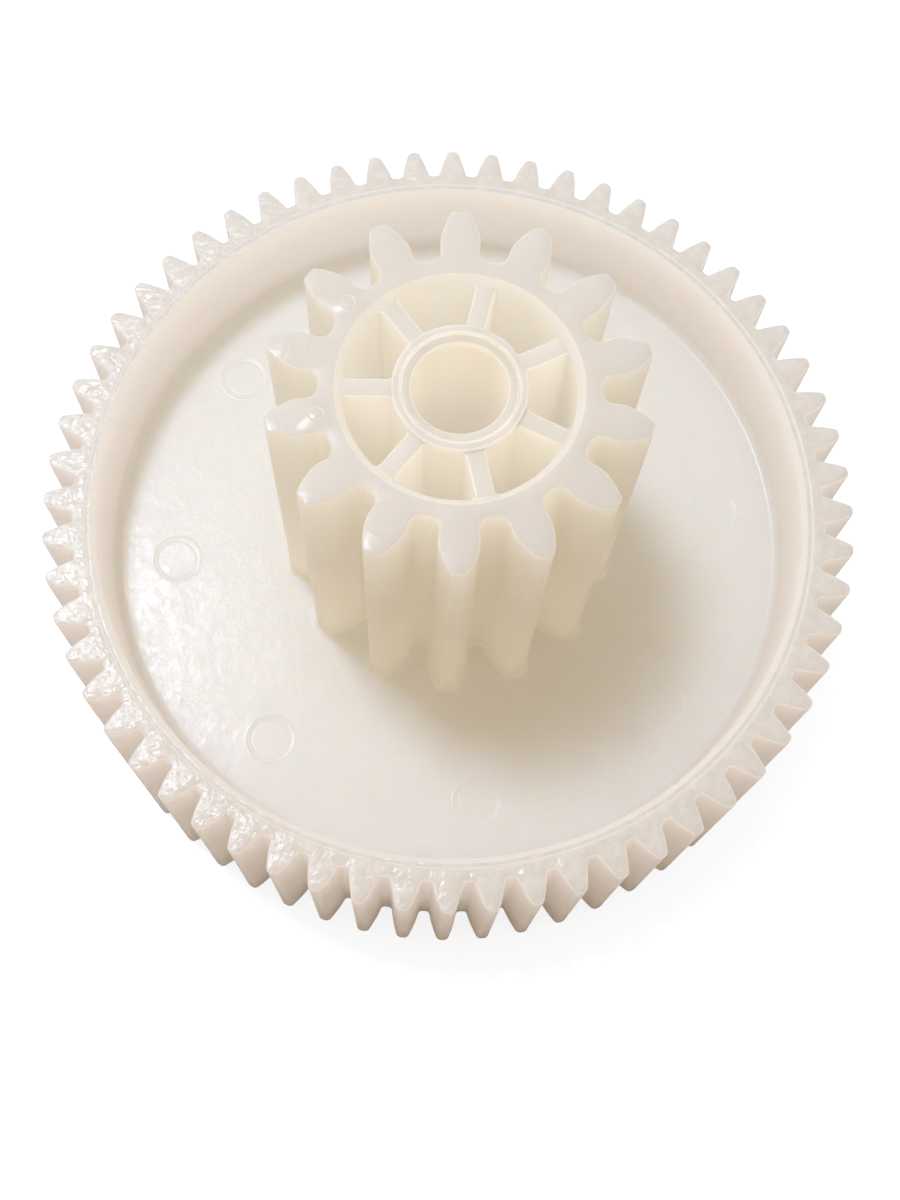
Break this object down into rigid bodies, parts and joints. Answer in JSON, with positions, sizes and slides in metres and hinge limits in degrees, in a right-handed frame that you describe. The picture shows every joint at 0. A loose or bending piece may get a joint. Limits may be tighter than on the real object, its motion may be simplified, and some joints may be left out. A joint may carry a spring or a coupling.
{
  "type": "compound spur gear",
  "caption": "Moulded plastic compound spur gear: a dished toothed wheel and a tall cored pinion on one axis, turning on a plain bush in its bore.",
  "frame": {"origin": "on the bore's axis, at the wheel's lower face", "axes": "+Z along the bore, from the wheel towards the pinion's end; a wheel tooth and a pinion tooth are centred on +Y, and a rib of the core on -X"},
  "size_m": [0.0774, 0.0774, 0.048],
  "materials": {
    "natural_plastic": "satin, natural cream-white, slightly translucent",
    "bush_plastic": "satin, slightly yellower than the gear"
  },
  "bodies": {
    "bush": {"spindle_bush": "bush_plastic"},
    "gear": {"wheel_gear": "natural_plastic", "pinion_gear": "natural_plastic", "hub_core": "natural_plastic"}
  },
  "joints": [
    {"name": "gear_spin", "type": "hinge", "parent": "bush", "child": "gear", "pos_m": [0, 0, 0], "axis": [0, 0, 1], "continuous": true}
  ]
}
